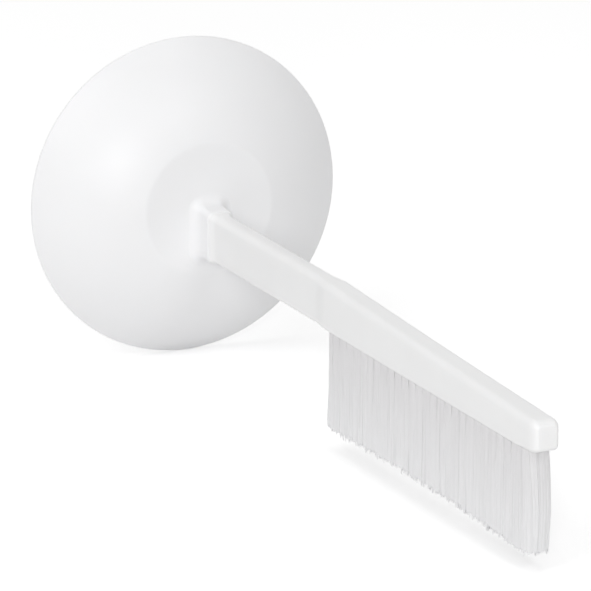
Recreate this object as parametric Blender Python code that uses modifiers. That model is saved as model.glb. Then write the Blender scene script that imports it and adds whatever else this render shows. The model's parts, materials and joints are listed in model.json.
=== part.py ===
"""Knife cleaning brush: a slim moulded bar with two rows of bristle tufts and a domed hand shield.

Metres, +X along the brush towards its tip, +Z up, bristles pointing down. The origin is the centre of the
hang hole, and z = 0 is the handle's centreline.
"""

import math
import random

import bmesh
import bpy
from mathutils import Matrix, Vector

# Handle, from its end to the shoulder that stops the shield
GRIP_END = 0.0085            # hang hole's centre to the end of the grip
GRIP_WIDTH = 0.0074
GRIP_HEIGHT = 0.0186
GRIP_CORNER = 0.0022         # rounding along the grip's four edges
GRIP_END_CORNER = 0.0070     # rounding of the grip's end, seen from the side
GRIP_END_EDGE = 0.0015       # rounding of that end's rim
HANG_HOLE_RADIUS = 0.0040
HANG_HOLE_LIP = 0.0010       # rounding of the hang hole's mouth
SHIELD_X = 0.1010            # hang hole's centre to the front of the shield's disc

# Shoulder, neck and flare
SHOULDER_LENGTH = 0.0045
SHOULDER_STEP = 0.0007       # how far the shoulder's thick end stands out of the neck
SHOULDER_CHAMFER = 0.0003
NECK_LENGTH = 0.0965
NECK_WIDTH = 0.0087
NECK_RISE = 0.01015          # top of the neck at the shoulder, above the centreline
NECK_DROP = 0.0101           # underside of the neck at the shoulder, below the centreline
NECK_END_DROP = 0.01035      # the same where the flare starts
NECK_CORNER = 0.0018
FLARE_LENGTH = 0.0120        # S-curve from the neck's width to the block's

# Bristle block
BLOCK_LENGTH = 0.1810
HEEL_WIDTH = 0.0109          # width of the block where it starts
TIP_WIDTH = 0.0117
HEEL_RISE = 0.0094           # top of the block where it starts, above the centreline
HEEL_DROP = 0.01015          # underside of the block where it starts, below the centreline
TIP_DROP = 0.0110
TIP_HEIGHT = 0.0126
BACK_HOLLOW = 0.00030        # how far the sloping back dips under a straight line
BACK_CORNER = 0.0020         # rounding along the back's edges
UNDERSIDE_CORNER = 0.0010    # rounding along the underside's edges
TIP_ROUNDING = 0.0024        # rounding of the tip's edges, seen from the tip
TIP_ROUNDING_LENGTH = 0.0050 # how far that rounding reaches back along the block

# Bristles
TUFTS_PER_ROW = 28
ROW_SPACING = 0.0050
FIRST_TUFT = 0.0025          # start of the block to the first tuft's axis
LAST_TUFT = 0.0080           # last tuft's axis to the tip
HOLE_RADIUS = 0.0019
HOLE_DEPTH = 0.0090
HEEL_LENGTH = 0.0401         # what shows of the bristles below the block, at its end nearer the grip
TIP_LENGTH = 0.0406          # the same at the tip
TRIM_HOLLOW = 0.0021         # how far the line of the trimmed ends curves up between the two
STRAND_RADIUS = 0.00038      # one strand stands for a few filaments
STRANDS_ROUND = 7            # strands round the one in the middle of a tuft
STRAND_RING = 0.0011         # ring that the strands stand on at the root
STRAND_SPLAY = 0.0009        # how much wider that ring is at the trimmed ends
TRIM_SCATTER = 0.0007        # unevenness of the trimmed ends
LEAN_SCATTER = 0.00022       # unevenness of the strands' lean
STRAND_ROOT = 0.0010         # how deep a strand is bound in its plug

# Hand shield
SHIELD_WIDTH = 0.1400
SHIELD_HEIGHT = 0.1370       # the moulding is a little lower than it is wide
SHIELD_RISE = 0.0099         # centre of the shield above the handle's centreline
SHIELD_WALL = 0.0024
BOWL_DEPTH = 0.0278
DISC_RADIUS = 0.0288         # flat disc in the middle of the dome
DISC_CREASE = math.radians(14.5)   # slope of the dome where it leaves the disc

# Sleeve that holds the shield on the handle
SLEEVE_LENGTH = 0.0113
SLEEVE_WALL_SIDE = 0.0016    # wall beside, above and below the socket, at the sleeve's front
SLEEVE_WALL_TOP = 0.0013
SLEEVE_WALL_LOW = 0.0011
SLEEVE_CORNER = 0.0026
SLEEVE_DRAFT_SIDE = 0.0003   # how much more the sleeve measures at its foot
SLEEVE_DRAFT_TOP = 0.0013
SLEEVE_FILLET = 0.0042
SLEEVE_EDGE = 0.0007         # rounding of the sleeve's front edge

SEAT_GAP = 0.0003            # clearance between pieces that fit together

# Fineness of the curved faces
CORNER_STEPS = 4
HOLE_SIDES = 12
HANG_HOLE_SIDES = 32
BOWL_SIDES = 64
ARC_STEPS = 9
RIM_STEPS = 4
STRAND_SIDES = 3
SHARP_ANGLE = math.radians(35)

# Places that follow from the sizes above
SLEEVE_FRONT_X = SHIELD_X + SLEEVE_LENGTH
SHOULDER_X = SLEEVE_FRONT_X + SEAT_GAP
NECK_X = SHOULDER_X + SHOULDER_LENGTH
FLARE_X = NECK_X + NECK_LENGTH
BLOCK_X = FLARE_X + FLARE_LENGTH
TIP_X = BLOCK_X + BLOCK_LENGTH
TIP_RISE = TIP_HEIGHT - TIP_DROP
TUFT_PITCH = (BLOCK_LENGTH - FIRST_TUFT - LAST_TUFT) / (TUFTS_PER_ROW - 0.5)

PLASTIC = {"hex": "F2F3F4", "roughness": 0.38}
FILAMENT = {"hex": "E4E4E7", "roughness": 0.45}


def clear_scene():
    """Removes what a new file holds, so that only the brush is left."""
    for obj in list(bpy.data.objects):
        bpy.data.objects.remove(obj, do_unlink=True)


def new_collection(name):
    collection = bpy.data.collections.new(name)
    bpy.context.scene.collection.children.link(collection)
    return collection


def linear(channel):
    """One sRGB channel, 0 to 1, as the linear value that a shader takes."""
    return channel / 12.92 if channel <= 0.04045 else ((channel + 0.055) / 1.055) ** 2.4


def new_material(name, look):
    """Principled material of a plain moulded or drawn plastic."""
    material = bpy.data.materials.new(name)
    material.use_nodes = True
    shader = material.node_tree.nodes["Principled BSDF"]
    channels = [int(look["hex"][i:i + 2], 16) / 255 for i in (0, 2, 4)]
    colour = [linear(channel) for channel in channels] + [1.0]
    shader.inputs["Base Color"].default_value = colour
    shader.inputs["Roughness"].default_value = look["roughness"]
    shader.inputs["Metallic"].default_value = 0.0
    material.diffuse_color = colour
    return material


def add_object(name, mesh, collection, material=None):
    obj = bpy.data.objects.new(name, mesh)
    collection.objects.link(obj)
    if material:
        mesh.materials.clear()
        mesh.materials.append(material)
    return obj


def add_cutter(name, mesh, cutters):
    """A guide solid that only cuts or joins, and is never part of the brush."""
    obj = add_object(name, mesh, cutters)
    obj.hide_render = True
    obj.display_type = "WIRE"
    return obj


def mesh_from(name, build):
    """A mesh filled by the function build, with its faces pointing out."""
    shape = bmesh.new()
    build(shape)
    bmesh.ops.recalc_face_normals(shape, faces=shape.faces)
    mesh = bpy.data.meshes.new(name)
    shape.to_mesh(mesh)
    shape.free()
    return mesh


def baked(obj):
    """The object's evaluated shape becomes its own mesh, with no modifiers left."""
    graph = bpy.context.evaluated_depsgraph_get()
    mesh = bpy.data.meshes.new_from_object(obj.evaluated_get(graph))
    obj.modifiers.clear()
    obj.data = mesh
    return obj


def boolean(obj, other, operation):
    modifier = obj.modifiers.new(f"{operation.lower()}_{other.name}", "BOOLEAN")
    modifier.operation = operation
    modifier.solver = "EXACT"
    modifier.object = other


def smooth(mesh):
    mesh.shade_smooth()
    mesh.set_sharp_from_angle(angle=SHARP_ANGLE)


def section(x, half_width, low, high, corner_low, corner_high):
    """Ring of points round a rounded rectangle across the brush, counter-clockwise seen from the tip."""
    room = min(half_width, (high - low) / 2)
    corner_low = min(corner_low, room * 0.98)
    corner_high = min(corner_high, room * 0.98)
    corners = (
        (half_width - corner_low, low + corner_low, corner_low, -90),
        (half_width - corner_high, high - corner_high, corner_high, 0),
        (-half_width + corner_high, high - corner_high, corner_high, 90),
        (-half_width + corner_low, low + corner_low, corner_low, 180),
    )
    ring = []
    for y, z, radius, start in corners:
        for step in range(CORNER_STEPS + 1):
            angle = math.radians(start + 90 * step / CORNER_STEPS)
            ring.append(Vector((x, y + radius * math.cos(angle), z + radius * math.sin(angle))))
    return ring


def loft(name, rings):
    """Closed skin through rings of equally many points, with a flat cap at each end."""

    def build(shape):
        rows = [[shape.verts.new(point) for point in ring] for ring in rings]
        count = len(rows[0])
        for near, far in zip(rows, rows[1:]):
            for i in range(count):
                j = (i + 1) % count
                shape.faces.new((near[i], near[j], far[j], far[i]))
        shape.faces.new(list(reversed(rows[0])))
        shape.faces.new(rows[-1])

    return mesh_from(name, build)


def turned(name, profile, sides, cutters):
    """Solid turned about Z from a profile of (radius, height) that starts and ends on the axis."""
    points = [(radius, 0.0, height) for radius, height in profile]
    edges = [(i, i + 1) for i in range(len(points) - 1)]
    mesh = bpy.data.meshes.new(name)
    mesh.from_pydata(points, edges, [])
    obj = add_cutter(name, mesh, cutters)
    screw = obj.modifiers.new("turn", "SCREW")
    screw.axis = "Z"
    screw.angle = math.tau
    screw.steps = sides
    screw.render_steps = sides
    screw.use_merge_vertices = True
    screw.merge_threshold = 0.00001
    baked(obj)
    return obj


def ease(share):
    """S-curve from 0 to 1 that starts and ends level."""
    return share * share * (3 - 2 * share)


def round_over(distance, radius):
    """Inset of a quarter-round edge, at a distance from its outer end."""
    reach = max(radius - distance, 0.0)
    return radius - math.sqrt(max(radius * radius - reach * reach, 0.0))


def back_height(x):
    """Top of the bar: level with the neck, then the slightly hollow slope of the block's back."""
    if x <= BLOCK_X:
        share = (x - NECK_X) / (BLOCK_X - NECK_X)
        return NECK_RISE + (HEEL_RISE - NECK_RISE) * share
    share = (x - BLOCK_X) / BLOCK_LENGTH
    return HEEL_RISE + (TIP_RISE - HEEL_RISE) * share - 4 * BACK_HOLLOW * share * (1 - share)


def block_half_width(x):
    """Half the block's width, which grows a little towards the tip."""
    return (HEEL_WIDTH + (TIP_WIDTH - HEEL_WIDTH) * (x - BLOCK_X) / BLOCK_LENGTH) / 2


def block_underside(x):
    """Height of the block's underside, which falls a little towards the tip."""
    return -HEEL_DROP - (TIP_DROP - HEEL_DROP) * (x - BLOCK_X) / BLOCK_LENGTH


def grip_rings():
    """Handle from its rounded end to the shoulder, which the shield's sleeve slides over."""
    start = -GRIP_END
    stops = [GRIP_END_CORNER * (1 - math.cos(math.radians(a))) for a in range(0, 91, 15)]
    stops += [GRIP_END_EDGE * (1 - math.cos(math.radians(a))) for a in (20, 45, 70)]
    rings = []
    for distance in sorted(stops):
        half_width = GRIP_WIDTH / 2 - round_over(distance, GRIP_END_EDGE)
        half_height = GRIP_HEIGHT / 2 - round_over(distance, GRIP_END_CORNER)
        rings.append(section(start + distance, half_width, -half_height, half_height,
                             GRIP_CORNER, GRIP_CORNER))
    rings.append(section(SHOULDER_X, GRIP_WIDTH / 2, -GRIP_HEIGHT / 2, GRIP_HEIGHT / 2,
                         GRIP_CORNER, GRIP_CORNER))
    return rings


def shoulder_rings(steps=4):
    """Shoulder that tapers down to the neck. Its thick end is what the sleeve butts against."""
    edge = SHOULDER_X + SHOULDER_CHAMFER
    stations = [(SHOULDER_X, SHOULDER_STEP - SHOULDER_CHAMFER)]
    for step in range(steps + 1):
        share = step / steps
        stations.append((edge + (NECK_X - edge) * share, SHOULDER_STEP * (1 - share) ** 1.3))
    rings = []
    for x, proud in stations:
        rings.append(section(x, NECK_WIDTH / 2 + proud, -NECK_DROP - proud, NECK_RISE + proud,
                             NECK_CORNER, NECK_CORNER))
    return rings


def neck_and_flare_rings(flare_steps=8):
    rings = []
    for step in range(1, flare_steps + 1):
        share = step / flare_steps
        x = FLARE_X + FLARE_LENGTH * share
        blend = ease(share)
        half_width = (NECK_WIDTH + (HEEL_WIDTH - NECK_WIDTH) * blend) / 2
        low = -NECK_END_DROP - (HEEL_DROP - NECK_END_DROP) * blend
        rings.append(section(x, half_width, low, back_height(x),
                             NECK_CORNER + (UNDERSIDE_CORNER - NECK_CORNER) * blend,
                             NECK_CORNER + (BACK_CORNER - NECK_CORNER) * blend))
    start = section(FLARE_X, NECK_WIDTH / 2, -NECK_END_DROP, back_height(FLARE_X), NECK_CORNER, NECK_CORNER)
    return [start] + rings


def block_rings(block_steps=7, tip_steps=5):
    """Bristle block with its sloping back, closed by the rounded tip."""
    body_length = BLOCK_LENGTH - TIP_ROUNDING_LENGTH
    rings = []
    for step in range(1, block_steps + 1):
        x = BLOCK_X + body_length * step / block_steps
        rings.append(section(x, block_half_width(x), block_underside(x), back_height(x),
                             UNDERSIDE_CORNER, BACK_CORNER))
    for step in range(1, tip_steps + 1):
        angle = math.radians(90 * step / tip_steps)
        x = TIP_X - TIP_ROUNDING_LENGTH * (1 - math.sin(angle))
        inset = TIP_ROUNDING * (1 - math.cos(angle))
        rings.append(section(x, block_half_width(x) - inset, block_underside(x) + inset,
                             back_height(x) - inset, max(UNDERSIDE_CORNER, TIP_ROUNDING - inset),
                             max(BACK_CORNER - inset, 0.0006)))
    return rings


def tuft_places():
    """Row name, number and place of each drilled hole's mouth, right row first."""
    places = []
    for row, side, shift in (("right", -1, 0.0), ("left", 1, 0.5)):
        for number in range(TUFTS_PER_ROW):
            x = BLOCK_X + FIRST_TUFT + TUFT_PITCH * (number + shift)
            places.append((row, number + 1, Vector((x, side * ROW_SPACING / 2, block_underside(x)))))
    return places


def hole_cutters(cutters):
    """All the drilled tuft holes as one cutter, each started a little below the block."""
    below = 0.001

    def build(shape):
        for _, _, mouth in tuft_places():
            middle = mouth + Vector((0, 0, (HOLE_DEPTH - below) / 2))
            bmesh.ops.create_cone(shape, cap_ends=True, segments=HOLE_SIDES,
                                  radius1=HOLE_RADIUS, radius2=HOLE_RADIUS,
                                  depth=HOLE_DEPTH + below, matrix=Matrix.Translation(middle))

    return add_cutter("tuft_holes", mesh_from("tuft_holes", build), cutters)


def hang_hole_cutter(cutters):
    """Round hole through the grip with rounded mouths on both sides."""
    half = GRIP_WIDTH / 2
    beyond = 0.001
    arc = [math.radians(90 * step / 4) for step in range(5)]
    upper = [(HANG_HOLE_RADIUS + HANG_HOLE_LIP * (1 - math.sin(a)), half - HANG_HOLE_LIP * (1 - math.cos(a)))
             for a in arc]
    mouth = HANG_HOLE_RADIUS + HANG_HOLE_LIP
    profile = [(0.0, half + beyond), (mouth, half + beyond)] + upper
    profile += [(radius, -height) for radius, height in reversed(profile)]
    hole = turned("hang_hole", profile, HANG_HOLE_SIDES, cutters)
    hole.rotation_euler = (math.radians(90), 0, 0)
    return hole


def make_brush_body(parts, cutters, material):
    """Grip, shoulder, neck, flare and bristle block, one moulding with a hang hole and drilled tuft holes."""
    mesh = loft("brush_body", grip_rings() + shoulder_rings() + neck_and_flare_rings() + block_rings())
    smooth(mesh)
    body = add_object("brush_body", mesh, parts, material)
    boolean(body, hang_hole_cutter(cutters), "DIFFERENCE")
    boolean(body, hole_cutters(cutters), "DIFFERENCE")
    return body


def bowl_profile():
    """Half section of the shield as (radius, height), height 0 being the disc's front.

    The dome is one arc: it leaves the disc at the crease angle and ends on the middle of the rounded rim.
    """
    half_wall = SHIELD_WALL / 2
    rim = Vector((SHIELD_WIDTH / 2 - half_wall, -(BOWL_DEPTH - half_wall)))
    edge = Vector((DISC_RADIUS, 0.0))
    outward = Vector((math.sin(DISC_CREASE), math.cos(DISC_CREASE)))
    span = rim - edge
    radius = (half_wall ** 2 - span.length_squared) / (2 * (span.dot(outward) + half_wall))
    centre = edge - outward * radius
    to_rim = rim - centre
    end = math.atan2(to_rim.x, to_rim.y)
    inner = radius - SHIELD_WALL
    begin_inner = math.acos((-SHIELD_WALL - centre.y) / inner)

    def on_arc(size, angle):
        return (centre.x + size * math.sin(angle), centre.y + size * math.cos(angle))

    sweep = end - DISC_CREASE
    outside = [on_arc(radius, DISC_CREASE + sweep * i / ARC_STEPS) for i in range(ARC_STEPS + 1)]
    lip = [end + math.pi * i / RIM_STEPS for i in range(1, RIM_STEPS)]
    rim_round = [(rim.x + half_wall * math.sin(a), rim.y + half_wall * math.cos(a)) for a in lip]
    inside = [on_arc(inner, end + (begin_inner - end) * i / ARC_STEPS) for i in range(ARC_STEPS + 1)]
    return [(0.0, 0.0)] + outside + rim_round + inside + [(0.0, -SHIELD_WALL)]


def sleeve_rings():
    """Tapered sleeve on the disc, with a fillet at its foot and a rounded front edge."""
    buried = -SHIELD_WALL / 2
    foot = [SLEEVE_FILLET * (1 - math.cos(math.radians(a))) for a in (10, 25, 40, 55, 70, 90)]
    front = [SLEEVE_LENGTH - SLEEVE_EDGE * (1 - math.sin(math.radians(a))) for a in (0, 30, 60, 90)]
    half_width = GRIP_WIDTH / 2 + SEAT_GAP + SLEEVE_WALL_SIDE
    low = -GRIP_HEIGHT / 2 - SEAT_GAP - SLEEVE_WALL_LOW
    high = GRIP_HEIGHT / 2 + SEAT_GAP + SLEEVE_WALL_TOP
    rings = []
    for distance in [buried] + foot + front:
        place = max(distance, foot[0])
        away = 1 - place / SLEEVE_LENGTH
        out = round_over(place, SLEEVE_FILLET) - round_over(SLEEVE_LENGTH - place, SLEEVE_EDGE)
        side = SLEEVE_DRAFT_SIDE * away + out
        rings.append(section(SHIELD_X + distance, half_width + side, low - side,
                             high + SLEEVE_DRAFT_TOP * away + out, SLEEVE_CORNER + out, SLEEVE_CORNER + out))
    return rings


def socket_rings():
    """Way through the sleeve and disc: the grip's own section plus the seat gap."""
    half_width = GRIP_WIDTH / 2 + SEAT_GAP
    half_height = GRIP_HEIGHT / 2 + SEAT_GAP
    corner = GRIP_CORNER + SEAT_GAP
    margin = 0.005
    ends = (SHIELD_X - SHIELD_WALL - margin, SLEEVE_FRONT_X + margin)
    return [section(x, half_width, -half_height, half_height, corner, corner) for x in ends]


def make_hand_shield(parts, cutters, material):
    """Domed bowl, turned and drawn in to its height, with the sleeve joined on and the socket cut through."""
    bowl = turned("hand_shield", bowl_profile(), BOWL_SIDES, cutters)
    height = Matrix.Scale(SHIELD_HEIGHT / SHIELD_WIDTH, 4, Vector((0, 0, 1)))
    place = Matrix.Translation((SHIELD_X, 0, SHIELD_RISE))
    bowl.data.transform(place @ height @ Matrix.Rotation(math.radians(90), 4, "Y"))
    bowl.data.name = "hand_shield"
    mesh = bowl.data
    bpy.data.objects.remove(bowl)
    shield = add_object("hand_shield", mesh, parts, material)
    boolean(shield, add_cutter("sleeve", loft("sleeve", sleeve_rings()), cutters), "UNION")
    boolean(shield, add_cutter("socket", loft("socket", socket_rings()), cutters), "DIFFERENCE")
    baked(shield)
    smooth(shield.data)
    return shield


def strand(shape, root, tip, turn):
    """Straight prism from root to tip, of equal thickness."""
    along = tip - root
    aim = along.to_track_quat("Z", "Y").to_matrix().to_4x4()
    place = Matrix.Translation((root + tip) / 2) @ aim @ Matrix.Rotation(turn, 4, "Z")
    bmesh.ops.create_cone(shape, cap_ends=True, segments=STRAND_SIDES, radius1=STRAND_RADIUS,
                          radius2=STRAND_RADIUS, depth=along.length, matrix=place)


def trimmed_length(x):
    """What shows of the bristles at a place along the block, down to the hollow line of their ends."""
    first = BLOCK_X + FIRST_TUFT
    share = (x - first) / (TIP_X - LAST_TUFT - first)
    straight = HEEL_LENGTH + (TIP_LENGTH - HEEL_LENGTH) * share
    return straight - 4 * TRIM_HOLLOW * share * (1 - share)


def tuft_strands(shown, chance):
    """The strands of one tuft, leaning gently apart, so that none crosses another."""
    spots = [(0.0, 0.0)]
    spots += [(STRAND_RING, math.tau * i / STRANDS_ROUND) for i in range(STRANDS_ROUND)]

    def build(shape):
        for ring, angle in spots:
            way = Vector((math.cos(angle), math.sin(angle), 0))
            splay = STRAND_SPLAY if ring else 0.0
            lean = Vector([chance.uniform(-LEAN_SCATTER, LEAN_SCATTER) for _ in range(2)] + [0])
            length = shown + chance.uniform(-TRIM_SCATTER, TRIM_SCATTER)
            root = way * ring + Vector((0, 0, SEAT_GAP + STRAND_ROOT))
            tip = way * (ring + splay) + lean - Vector((0, 0, length))
            strand(shape, root, tip, chance.uniform(0, math.tau))

    return mesh_from("strands", build)


def tuft_plug():
    """Bound root of a tuft, with its fold and anchor, as it fills the drilled hole."""
    length = HOLE_DEPTH - 2 * SEAT_GAP

    def build(shape):
        radius = HOLE_RADIUS - SEAT_GAP
        bmesh.ops.create_cone(shape, cap_ends=True, segments=HOLE_SIDES, radius1=radius, radius2=radius,
                              depth=length, matrix=Matrix.Translation((0, 0, SEAT_GAP + length / 2)))

    return mesh_from("plug", build)


def make_tufts(parts, cutters, material):
    """Both rows of tufts, each one piece: its strands joined to the plug in its hole."""
    tufts = []
    for index, (row, number, mouth) in enumerate(tuft_places()):
        chance = random.Random(1000 + index)
        tuft = add_object(f"tuft_{row}_{number:02d}", tuft_plug(), parts, material)
        strands = add_cutter(f"strands_{row}_{number:02d}",
                             tuft_strands(trimmed_length(mouth.x), chance), cutters)
        boolean(tuft, strands, "UNION")
        baked(tuft)
        bpy.data.objects.remove(strands)
        smooth(tuft.data)
        tuft.location = mouth
        tufts.append(tuft)
    return tufts


def main():
    clear_scene()
    parts = new_collection("knife_cleaning_brush")
    cutters = new_collection("cutters")
    plastic = new_material("white_polypropylene", PLASTIC)
    shield_plastic = new_material("white_polypropylene_shield", PLASTIC)
    filament = new_material("white_polyester_filament", FILAMENT)
    make_brush_body(parts, cutters, plastic)
    make_hand_shield(parts, cutters, shield_plastic)
    make_tufts(parts, cutters, filament)


main()
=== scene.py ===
"""Knife cleaning brush: the look of its moulded bar, hand shield and bristles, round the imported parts.

Metres, +X along the brush towards its tip, +Z up, bristles pointing down.
"""

import json
import math

import bmesh
import bpy
import numpy as np
from mathutils import Matrix, Vector

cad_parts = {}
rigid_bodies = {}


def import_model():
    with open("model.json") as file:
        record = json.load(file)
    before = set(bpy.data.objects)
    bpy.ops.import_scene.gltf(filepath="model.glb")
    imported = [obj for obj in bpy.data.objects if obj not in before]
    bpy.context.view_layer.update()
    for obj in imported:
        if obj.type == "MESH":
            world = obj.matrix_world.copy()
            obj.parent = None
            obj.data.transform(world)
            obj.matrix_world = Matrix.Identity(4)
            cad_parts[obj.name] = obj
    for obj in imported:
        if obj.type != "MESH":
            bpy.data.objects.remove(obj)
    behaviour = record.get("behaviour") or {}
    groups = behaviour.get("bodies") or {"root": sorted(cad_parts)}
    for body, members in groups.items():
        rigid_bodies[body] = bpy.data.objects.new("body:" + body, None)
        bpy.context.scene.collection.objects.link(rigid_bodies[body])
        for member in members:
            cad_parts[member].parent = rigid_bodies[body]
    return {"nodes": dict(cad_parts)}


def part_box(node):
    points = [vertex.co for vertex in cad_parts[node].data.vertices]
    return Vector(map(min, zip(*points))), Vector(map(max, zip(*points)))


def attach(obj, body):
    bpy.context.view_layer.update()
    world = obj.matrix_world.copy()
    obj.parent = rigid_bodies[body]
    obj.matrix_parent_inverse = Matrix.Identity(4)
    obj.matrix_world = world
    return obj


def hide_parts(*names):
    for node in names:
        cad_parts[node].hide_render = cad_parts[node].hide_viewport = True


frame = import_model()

bl_info = {
    "name": "Knife Cleaning Brush",
    "version": (1, 0, 0),
    "blender": (4, 5, 0),
    "location": "3D View > Sidebar > Brush",
    "description": "Moulded bar, domed hand shield and dense bristles of a knife cleaning brush",
    "category": "Add Mesh",
}

IMAGE_WIDTH = 591            # pixels
SENSOR_WIDTH = 36            # mm
MM = 0.001
SEAT_GAP = 0.3 * MM          # clearance round the grip in its socket
SHOULDER_GAP = 0.05 * MM     # between the sleeve and the bar's shoulder
GRIP_CORNER = 2.2 * MM
SOCKET_CORNER = 2.5 * MM
MOULD_GRAIN = 0.5 * MM       # size that the plastic's grain is drawn at

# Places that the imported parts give
BAR_LOW, BAR_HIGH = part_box("brush_body")
SHIELD_LOW, SHIELD_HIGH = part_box("hand_shield")
TUFT_NODES = sorted(name for name in frame["nodes"] if name.startswith("tuft_"))


# Settings

class BarSettings(bpy.types.PropertyGroup):
    grip_width: bpy.props.FloatProperty(
        name="Grip width", description="Thickness of the grip, from side to side",
        default=0.0074, min=0.002, unit="LENGTH")
    grip_height: bpy.props.FloatProperty(
        name="Grip height", description="Height of the grip",
        default=0.0186, min=0.004, unit="LENGTH")
    neck_width: bpy.props.FloatProperty(
        name="Neck width", description="Thickness of the neck, from side to side",
        default=0.0087, min=0.002, unit="LENGTH")
    neck_length: bpy.props.FloatProperty(
        name="Neck length", description="Length between the shoulder and the flare",
        default=0.0965, min=0.01, unit="LENGTH")
    shoulder_length: bpy.props.FloatProperty(
        name="Shoulder length", description="Length of the tapered shoulder that stops the shield",
        default=0.0045, min=0.001, unit="LENGTH")
    shoulder_step: bpy.props.FloatProperty(
        name="Shoulder step", description="How far the shoulder stands out above and below the neck",
        default=0.0006, min=0.0, unit="LENGTH")
    shoulder_side_step: bpy.props.FloatProperty(
        name="Shoulder side step", description="How far it stands out of the neck's sides",
        default=0.0011, min=0.0, unit="LENGTH")
    flare_length: bpy.props.FloatProperty(
        name="Flare length", description="Length of the curve from the neck to the bristle block",
        default=0.0120, min=0.002, unit="LENGTH")
    heel_width: bpy.props.FloatProperty(
        name="Heel width", description="Width of the bristle block where it starts",
        default=0.0109, min=0.002, unit="LENGTH")
    heel_drop: bpy.props.FloatProperty(
        name="Heel drop", description="Underside of the block where it starts, below the centreline",
        default=0.01015, min=0.002, unit="LENGTH")
    tip_height: bpy.props.FloatProperty(
        name="Tip height", description="Height of the bristle block at its tip",
        default=0.0126, min=0.004, unit="LENGTH")
    edge_rounding: bpy.props.FloatProperty(
        name="Edge rounding", description="Radius of the bar's long upper edges",
        default=0.0029, min=0.0002, unit="LENGTH")
    tip_rounding: bpy.props.FloatProperty(
        name="Tip rounding", description="Rounding of the edges round the tip's face, seen from the tip",
        default=0.0024, min=0.0002, unit="LENGTH")
    tip_corner: bpy.props.FloatProperty(
        name="Tip corner", description="Radius of the block's long edges where that rounding starts",
        default=0.0029, min=0.0006, unit="LENGTH")
    tip_rounding_length: bpy.props.FloatProperty(
        name="Tip rounding length", description="How far that rounding reaches back along the block",
        default=0.0050, min=0.0002, unit="LENGTH")
    colour: bpy.props.StringProperty(
        name="Plastic colour", description="Colour of the moulded plastic, as an sRGB hex value",
        default="F4F4F4")
    roughness: bpy.props.FloatProperty(
        name="Roughness", description="Roughness of the moulded plastic",
        default=0.36, min=0.0, max=1.0, subtype="FACTOR")


class ShieldSettings(bpy.types.PropertyGroup):
    wall: bpy.props.FloatProperty(
        name="Wall", description="Thickness of the shield's wall",
        default=0.0024, min=0.0005, unit="LENGTH")
    disc_radius: bpy.props.FloatProperty(
        name="Disc radius", description="Radius of the flat disc in the middle of the dome",
        default=0.0288, min=0.005, unit="LENGTH")
    disc_slope: bpy.props.FloatProperty(
        name="Slope at the disc", description="Slope of the dome where it leaves the disc",
        default=math.radians(14.5), subtype="ANGLE")
    disc_blend: bpy.props.FloatProperty(
        name="Disc blend", description="Width of the rounding where the disc meets the dome",
        default=0.0010, min=0.0001, unit="LENGTH")
    sleeve_length: bpy.props.FloatProperty(
        name="Sleeve length", description="How far the sleeve stands out of the disc",
        default=0.0113, min=0.002, unit="LENGTH")
    sleeve_fillet: bpy.props.FloatProperty(
        name="Sleeve fillet", description="Radius of the fillet at the sleeve's foot",
        default=0.0042, min=0.0002, unit="LENGTH")
    sleeve_edge: bpy.props.FloatProperty(
        name="Sleeve edge", description="Rounding of the sleeve's front edge",
        default=0.0010, min=0.0001, unit="LENGTH")
    rim_length: bpy.props.FloatProperty(
        name="Rim length", description="Length of the raised rim at the sleeve's front",
        default=0.0030, min=0.0005, unit="LENGTH")
    rim_step: bpy.props.FloatProperty(
        name="Rim step", description="How far that rim stands out of the sleeve",
        default=0.00025, min=0.0, precision=5, unit="LENGTH")
    colour: bpy.props.StringProperty(
        name="Plastic colour", description="Colour of the moulded plastic, as an sRGB hex value",
        default="F4F4F5")
    roughness: bpy.props.FloatProperty(
        name="Roughness", description="Roughness of the moulded plastic",
        default=0.40, min=0.0, max=1.0, subtype="FACTOR")


class BristleSettings(bpy.types.PropertyGroup):
    filaments: bpy.props.IntProperty(
        name="Loose filaments in a tuft", description="Filaments round the inner bundle of each tuft",
        default=110, min=4)
    inner_ends: bpy.props.IntProperty(
        name="Inner ends in a tuft", description="Filament ends that show under each tuft's inner bundle",
        default=70, min=4)
    thickness: bpy.props.FloatProperty(
        name="Filament thickness", description="Diameter of one filament",
        default=0.00030, min=0.00005, precision=5, unit="LENGTH")
    heel_length: bpy.props.FloatProperty(
        name="Length at the heel", description="Length of the bristles at the end nearer the grip",
        default=0.0401, min=0.005, unit="LENGTH")
    tip_length: bpy.props.FloatProperty(
        name="Length at the tip", description="Length of the bristles at the tip",
        default=0.0406, min=0.005, unit="LENGTH")
    trim_hollow: bpy.props.FloatProperty(
        name="Trim hollow", description="How far the trimmed ends' line curves up in the middle",
        default=0.0021, min=0.0, unit="LENGTH")
    hole_radius: bpy.props.FloatProperty(
        name="Hole radius", description="Radius of a drilled tuft hole",
        default=0.0019, min=0.0005, unit="LENGTH")
    hole_depth: bpy.props.FloatProperty(
        name="Hole depth", description="Depth of a drilled tuft hole",
        default=0.0090, min=0.001, unit="LENGTH")
    spread_along: bpy.props.FloatProperty(
        name="Spread along", description="Half the width of a tuft at its end, along the block",
        default=0.0034, min=0.0, unit="LENGTH")
    spread_across: bpy.props.FloatProperty(
        name="Spread across", description="Half the width of a tuft at its end, across the block",
        default=0.00265, min=0.0, unit="LENGTH")
    trim_scatter: bpy.props.FloatProperty(
        name="Trim scatter", description="Usual unevenness of the trimmed ends",
        default=0.00035, min=0.0, precision=5, unit="LENGTH")
    # Painted shade and light: the root colour is darker for the shade under the block and between the tufts,
    # and the end colour is lighter for the light that gets in between the looser ends.
    shaded_root_colour: bpy.props.StringProperty(
        name="Root colour", description="Colour of the filaments at their roots, as an sRGB hex value",
        default="E1E0E1")
    lit_end_colour: bpy.props.StringProperty(
        name="End colour", description="Colour of the filaments at their ends, as an sRGB hex value",
        default="F0F0F1")
    seed: bpy.props.IntProperty(
        name="Seed", description="Seed of the filaments' scatter", default=11)


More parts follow.
